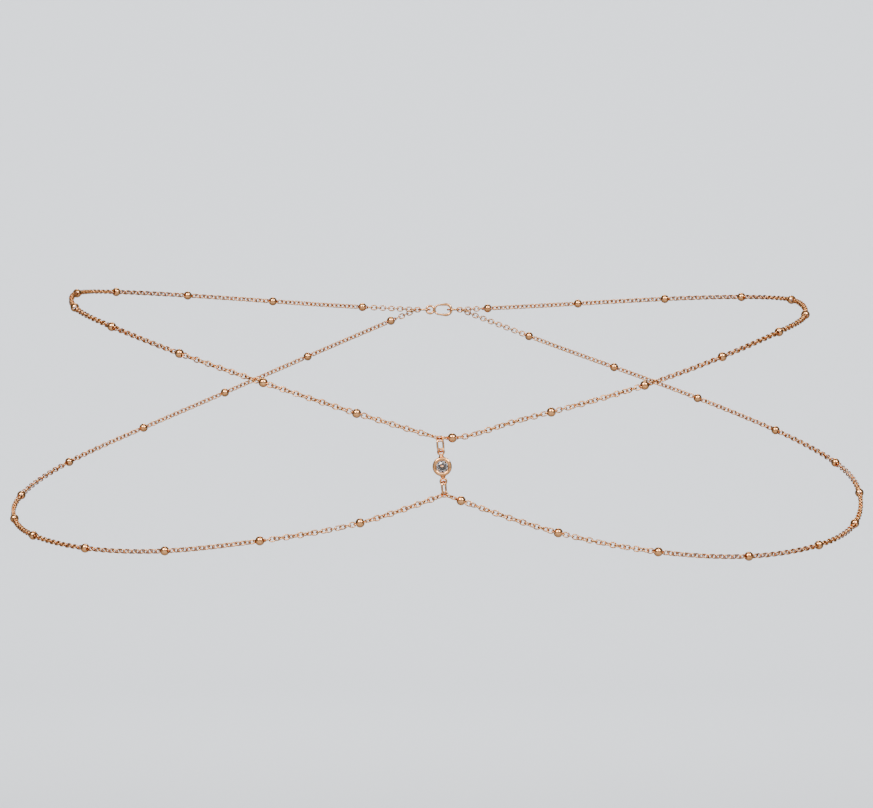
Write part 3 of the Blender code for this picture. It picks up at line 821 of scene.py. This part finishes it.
class WAISTCHAIN_OT_drop_links(Operator):
    """Make the two junction links and the two oval links of the drop"""
    bl_idname = "waist_chain.drop_links"
    bl_label = "Drop Links"

    def execute(self, context):
        chain = context.scene.waist_chain_links
        sizes = context.scene.waist_chain_drop
        across, up, away = drop_axes()
        gold = shared_gold(context, "cast")
        points, faces = link_shape(chain.length, chain.width, chain.wire)
        for name in ("upper_junction_link", "lower_junction_link"):
            copy = placed(points, middle_of(name), across, up, away)
            item = make_object(name.replace("_link", "_oval"), copy, faces)
            finish_piece(item, gold, [name])
        points, faces = link_shape(sizes.link_length, sizes.link_width, sizes.link_wire)
        for name, turn in (("top_link", sizes.top_turn), ("bottom_link", sizes.bottom_turn)):
            # The width is turned about the drop's line
            width = math.cos(turn) * across - math.sin(turn) * away
            copy = placed(points, middle_of(name), up, width, np.cross(up, width))
            item = make_object(name.replace("_link", "_oval"), copy, faces)
            finish_piece(item, gold, [name])
        return {"FINISHED"}


def bezel_profile(sizes, cut):
    """Section of the bezel as (radius, height) points: rim, outer wall, back, hole, seat and lip.

    The rim is a half circle between the opening and the outside, cut off level at the lip's underside, and
    the outer back edge is a quarter circle. The rest is straight.
    """
    outer, lip = sizes.bezel_diameter / 2.0, sizes.opening / 2.0
    lip_height = sizes.bezel_depth - sizes.lip
    rim_radius = (outer - lip) / 2.0
    angles = np.linspace(math.pi, 0.0, RIM_STEPS)[1:]
    rim = np.array(((outer + lip) / 2.0, sizes.bezel_depth - rim_radius)) + arc(rim_radius, angles)
    rim = rim[(rim[:, 1] > lip_height) | (angles < math.pi / 2.0)]
    edge = sizes.edge_round
    outside = np.array((outer - edge, edge)) + arc(edge, np.linspace(0.0, -math.pi / 2.0, EDGE_STEPS))
    seat = cut.diameter / 2.0 + cut.seat
    back = sizes.back_opening / 2.0
    inside = np.array([[back + edge / 2.0, 0.0], [back, edge / 2.0], [back, sizes.back_floor],
                       [seat, girdle_height(sizes, cut) - cut.girdle], [seat, lip_height - cut.seat],
                       [lip, lip_height]])
    return np.concatenate([rim, outside, inside])


def girdle_height(sizes, cut):
    """Height of the girdle's middle above the bezel's back, set by the lip that holds the stone."""
    return sizes.bezel_depth - sizes.lip - cut.seat - cut.girdle - cut.crown / 2.0


def loop_reach(sizes):
    """Distance from the bezel's centre to a loop's centre."""
    return sizes.bezel_diameter / 2.0 + sizes.neck_length + sizes.loop_diameter / 2.0


def neck_shape(sizes):
    """Bar between bezel and loop along local Z, flared into the bezel and rounded into the loop's wire.

    With s the share of the way from the bezel's side to the loop's centre line, radius = neck / 2 +
    flare * (1 - 2 s)^2 up to s = 1/2, and past it a quarter ellipse from neck / 2 to just inside the wire.
    """
    side = sizes.bezel_diameter / 2.0
    inner = (sizes.bezel_diameter + sizes.opening) / 4.0
    outer = loop_reach(sizes) - (sizes.loop_diameter - sizes.loop_wire) / 2.0
    share = np.linspace(1.0, 0.0, NECK_STEPS)
    narrow, tip = sizes.neck / 2.0, NECK_TIP * sizes.loop_wire / 2.0
    flared = narrow + sizes.neck_flare * np.maximum(1.0 - 2.0 * share, 0.0) ** 2
    rounded = tip + (narrow - tip) * np.sqrt(1.0 - np.maximum(2.0 * share - 1.0, 0.0) ** 2)
    radius = np.where(share < 0.5, flared, rounded)
    profile = np.stack([radius, side + share * (outer - side)], axis=-1)
    profile = np.concatenate([[[NECK_POLE, outer]], profile, [[radius[-1], inner], [NECK_POLE, inner]]])
    return turned_shape(profile, NECK_SIDES)


def drop_back():
    """Centre of the bezel's back face."""
    place = middle_of("setting")
    place[1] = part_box("setting")[1].y
    return place


class WAISTCHAIN_OT_setting(Operator):
    """Turn the bezel and solder its two loops to it"""
    bl_idname = "waist_chain.setting"
    bl_label = "Setting"

    def execute(self, context):
        sizes = context.scene.waist_chain_drop
        across, up, away = drop_axes()
        middle = middle_of("setting")
        points, faces = turned_shape(bezel_profile(sizes, context.scene.waist_chain_cut), BEZEL_SIDES)
        shapes = [(placed(points, drop_back(), across, up, away), faces)]
        ring, ring_faces = ring_shape(sizes.loop_diameter, sizes.loop_wire)
        neck, neck_faces = neck_shape(sizes)
        for outward in (up, -up):
            shapes.append((placed(neck, middle, across, np.cross(outward, across), outward), neck_faces))
            shapes.append((placed(ring, middle + loop_reach(sizes) * outward, across, up, away), ring_faces))
        item = fused("bezel_and_loops", shapes)
        finish_piece(item, shared_gold(context, "cast"), ["setting"], crease=CAST_CREASE)
        return {"FINISHED"}


class WAISTCHAIN_OT_stone(Operator):
    """Cut the round stone and set it in the bezel"""
    bl_idname = "waist_chain.stone"
    bl_label = "Stone"

    def brilliant(self, cut, girdle):
        """Round brilliant of 57 facets, table up.

        Rings of 8 table corners, 8 star tips a half step on, 16 girdle points above and below, 8 pavilion
        points a half step on and the point. Star tips and pavilion points are placed so that the eight-fold
        kites are flat: their height is read off the straight line from the kite's inner corner to its girdle
        point.
        """
        radius = cut.diameter / 2.0
        table = radius * cut.table
        above, below = girdle + cut.girdle / 2.0, girdle - cut.girdle / 2.0
        half_step = math.pi / FOLD
        corners, girdle_points = circle_angles(FOLD), circle_angles(2 * FOLD)
        star = table + (radius - table) * cut.star
        star_height = above + cut.crown * (radius - star * math.cos(half_step)) / (radius - table)
        deep = radius * cut.lower_half
        deep_height = below - cut.pavilion * (1.0 - deep * math.cos(half_step) / radius)
        rings = [(table, above + cut.crown, corners), (star, star_height, corners + half_step),
                 (radius, above, girdle_points), (radius, below, girdle_points),
                 (deep, deep_height, corners + half_step), (0.0, below - cut.pavilion, corners[:1])]
        return np.concatenate([np.column_stack([arc(reach, angles), np.full(len(angles), height)])
                               for reach, height, angles in rings])

    def facets(self):
        """Faces of the brilliant, from table to point, each turned outwards."""
        table, star, upper, lower, deep, point = (FOLD * rings for rings in (0, 1, 2, 4, 6, 7))
        faces = [list(range(FOLD))]
        for k in range(FOLD):
            after, before = (k + 1) % FOLD, (k - 1) % FOLD
            near, half, far = 2 * k, 2 * k + 1, (2 * k + 2) % (2 * FOLD)
            faces += [
                [table + k, star + k, table + after],
                [table + k, star + before, upper + near, star + k],
                [star + k, upper + near, upper + half],
                [star + k, upper + half, upper + far],
                [upper + near, lower + near, lower + half, upper + half],
                [upper + half, lower + half, lower + far, upper + far],
                [deep + k, lower + half, lower + near],
                [deep + k, lower + far, lower + half],
                [point, deep + k, lower + near, deep + before],
            ]
        return faces

    def execute(self, context):
        scene = context.scene
        cut = scene.waist_chain_cut
        points = self.brilliant(cut, girdle_height(scene.waist_chain_drop, cut))
        item = make_object("cut_stone", placed(points, drop_back(), *drop_axes()), self.facets())
        stone = stone_material(scene.waist_chain_stone)
        finish_piece(item, stone, ["crystal"], crease=STONE_CREASE)
        return {"FINISHED"}


def rounded_outline(first_x, first_radius, second_x, second_radius):
    """Outline round two circles on the X axis and their common tangents, as points at even angles.

    The normal's angle a runs round once, and the point is the circle's centre plus its radius along the
    normal: the first circle's while cos(a) is under the tangents' lean, and the second's past it.
    """
    lean = (first_radius - second_radius) / (second_x - first_x)
    normal = arc(1.0, 2.0 * math.pi * (np.arange(CLASP_STEPS) + 0.5) / CLASP_STEPS)
    ahead = normal[:, 0] > lean
    points = normal * np.where(ahead, second_radius, first_radius)[:, None]
    points[:, 0] += np.where(ahead, second_x, first_x)
    return points


class WAISTCHAIN_OT_closure(Operator):
    """Make the plain clasp and the two rings that the strands end in"""
    bl_idname = "waist_chain.closure"
    bl_label = "Clasp and Rings"

    def clasp_shapes(self, sizes, length, thickness):
        """Body with its long opening, and the eye at its narrow end, as two bands along local X."""
        hook_radius, eye_radius = sizes.hook_width / 2.0, sizes.eye_width / 2.0
        hook_hole, eye_hole = hook_radius - sizes.hook_wall, eye_radius - sizes.eye_wall
        far = length / 2.0 - sizes.hook_wall - hook_hole
        near = length / 2.0 - sizes.hook_wall - sizes.opening + hook_hole
        body_end = sizes.waist / 2.0
        near_outer = near - hook_hole - sizes.eye_wall + body_end
        outer = rounded_outline(near_outer, body_end, length / 2.0 - hook_radius, hook_radius)
        inner = rounded_outline(near, hook_hole, far, hook_hole)
        eye_x = eye_radius - length / 2.0
        eye = [rounded_outline(eye_x, radius, eye_x + EYE_PLAY, radius) for radius in (eye_radius, eye_hole)]
        return [band_shape(outer, inner, thickness), band_shape(*eye, thickness * EYE_THICKNESS)]

    def execute(self, context):
        gold = shared_gold(context, "cast")
        low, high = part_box("clasp")
        middle = middle_of("clasp")
        x_axis, y_axis, z_axis = np.eye(3)
        bands = self.clasp_shapes(context.scene.waist_chain_clasp, high.x - low.x, high.y - low.y)
        shapes = [(placed(points, middle, x_axis, z_axis, -y_axis), faces) for points, faces in bands]
        item = fused("clasp_body", shapes)
        finish_piece(item, gold, ["clasp"], crease=CAST_CREASE)
        for name in ("end_ring_left", "end_ring_right"):
            low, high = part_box(name)
            points, faces = ring_shape(high.x - low.x, high.z - low.z)
            copy = placed(points, middle_of(name), x_axis, y_axis, z_axis)
            item = make_object(name.replace("end_ring", "strand_ring"), copy, faces)
            finish_piece(item, gold, [name])
        return {"FINISHED"}


class WAISTCHAIN_OT_stage(Operator):
    """Set up the pale floor, the soft lights and the camera"""
    bl_idname = "waist_chain.stage"
    bl_label = "Stage"

    def floor(self, stage):
        """Round floor whose edge sweeps up into a wall all the way round: one turned profile, level inside.

        The cove is a quarter circle, out by cove * sin(a) and up by cove * (1 - cos(a)), with the wall above.
        """
        cove = np.linspace(0.0, math.pi / 2.0, COVE_STEPS)
        out, up = COVE_RADIUS * np.sin(cove), COVE_RADIUS * (1.0 - np.cos(cove))
        wall_top = [FLOOR_RADIUS + COVE_RADIUS, COVE_RADIUS + WALL_HEIGHT]
        profile = np.concatenate([np.stack([FLOOR_RADIUS + out, up], axis=-1), [wall_top]])
        profile[:, 1] += stage.floor_height
        points, faces = turned_shape(profile, FLOOR_SIDES, closed=False)
        item = make_object("pale_floor", points, [list(range(FLOOR_SIDES)), *faces.tolist()])
        item.data.materials.append(backdrop_material(stage))
        item.data.shade_smooth()

    def lights(self, scene, stage):
        """Soft square lights, each turned to its target, and a dim even sky."""
        for number, box in enumerate(SOFTBOXES, start=1):
            data = bpy.data.lights.new(f"softbox_{number}", "AREA")
            data.shape = "SQUARE"
            data.size = box.size
            data.energy = box.power
            data.color = box.colour
            item = bpy.data.objects.new(f"softbox_{number}", data)
            item.location = box.place
            item.rotation_mode = "QUATERNION"
            aim = Vector(box.target) - Vector(box.place)
            item.rotation_quaternion = aim.to_track_quat("-Z", "Y")
            scene.collection.objects.link(item)
        world = bpy.data.worlds.new("dim_sky")
        world.use_nodes = True
        light = {"Color": (*stage.sky_colour, 1.0), "Strength": stage.sky_strength}
        set_sockets(world.node_tree.nodes["Background"], light)
        scene.world = world

    def camera(self, scene, stage):
        """Level camera in front of the belly, as the photograph was taken."""
        data = bpy.data.cameras.new("front_camera")
        data.lens = stage.lens
        data.sensor_width = SENSOR_WIDTH
        data.clip_start = CLIP_START
        data.clip_end = CLIP_END
        item = bpy.data.objects.new("front_camera", data)
        item.location = (stage.camera_side, -stage.camera_distance, stage.camera_height)
        item.rotation_euler = (math.pi / 2.0, 0.0, 0.0)
        scene.collection.objects.link(item)
        scene.camera = item

    def execute(self, context):
        stage = context.scene.waist_chain_stage
        self.floor(stage)
        self.lights(context.scene, stage)
        self.camera(context.scene, stage)
        return {"FINISHED"}


OPERATORS = (WAISTCHAIN_OT_stage, WAISTCHAIN_OT_strands, WAISTCHAIN_OT_beads, WAISTCHAIN_OT_drop_links,
             WAISTCHAIN_OT_setting, WAISTCHAIN_OT_stone, WAISTCHAIN_OT_closure)

GROUPS = {
    "waist_chain_links": ChainSizes,
    "waist_chain_beads": BeadSizes,
    "waist_chain_drop": DropSizes,
    "waist_chain_cut": StoneCut,
    "waist_chain_clasp": ClaspSizes,
    "waist_chain_gold": GoldFinish,
    "waist_chain_stone": StoneFinish,
    "waist_chain_stage": StageSetup,
}


class WAISTCHAIN_PT_sidebar(Panel):
    """Sizes, looks and steps of the waist chain"""
    bl_idname = "WAISTCHAIN_PT_sidebar"
    bl_label = "Waist Chain"
    bl_space_type = "VIEW_3D"
    bl_region_type = "UI"
    bl_category = "Waist Chain"

    def draw(self, context):
        for name, group in GROUPS.items():
            box = self.layout.box()
            box.label(text=group.__doc__.rstrip("."))
            for field in group.__annotations__:
                box.prop(getattr(context.scene, name), field)
        for operator in OPERATORS:
            self.layout.operator(operator.bl_idname)


def register():
    """Register the classes and hang the settings on the scene."""
    for item in (*GROUPS.values(), *OPERATORS, WAISTCHAIN_PT_sidebar):
        bpy.utils.register_class(item)
    for name, group in GROUPS.items():
        setattr(bpy.types.Scene, name, PointerProperty(type=group))


def unregister():
    """Take the settings off the scene and unregister the classes."""
    for name in GROUPS:
        delattr(bpy.types.Scene, name)
    for item in (WAISTCHAIN_PT_sidebar, *OPERATORS, *GROUPS.values()):
        bpy.utils.unregister_class(item)


def main():
    """Dress the whole frame."""
    register()
    bpy.ops.waist_chain.stage()
    bpy.ops.waist_chain.strands()
    bpy.ops.waist_chain.beads()
    bpy.ops.waist_chain.drop_links()
    bpy.ops.waist_chain.setting()
    bpy.ops.waist_chain.stone()
    bpy.ops.waist_chain.closure()
    bpy.context.view_layer.update()


if __name__ == "__main__":
    main()
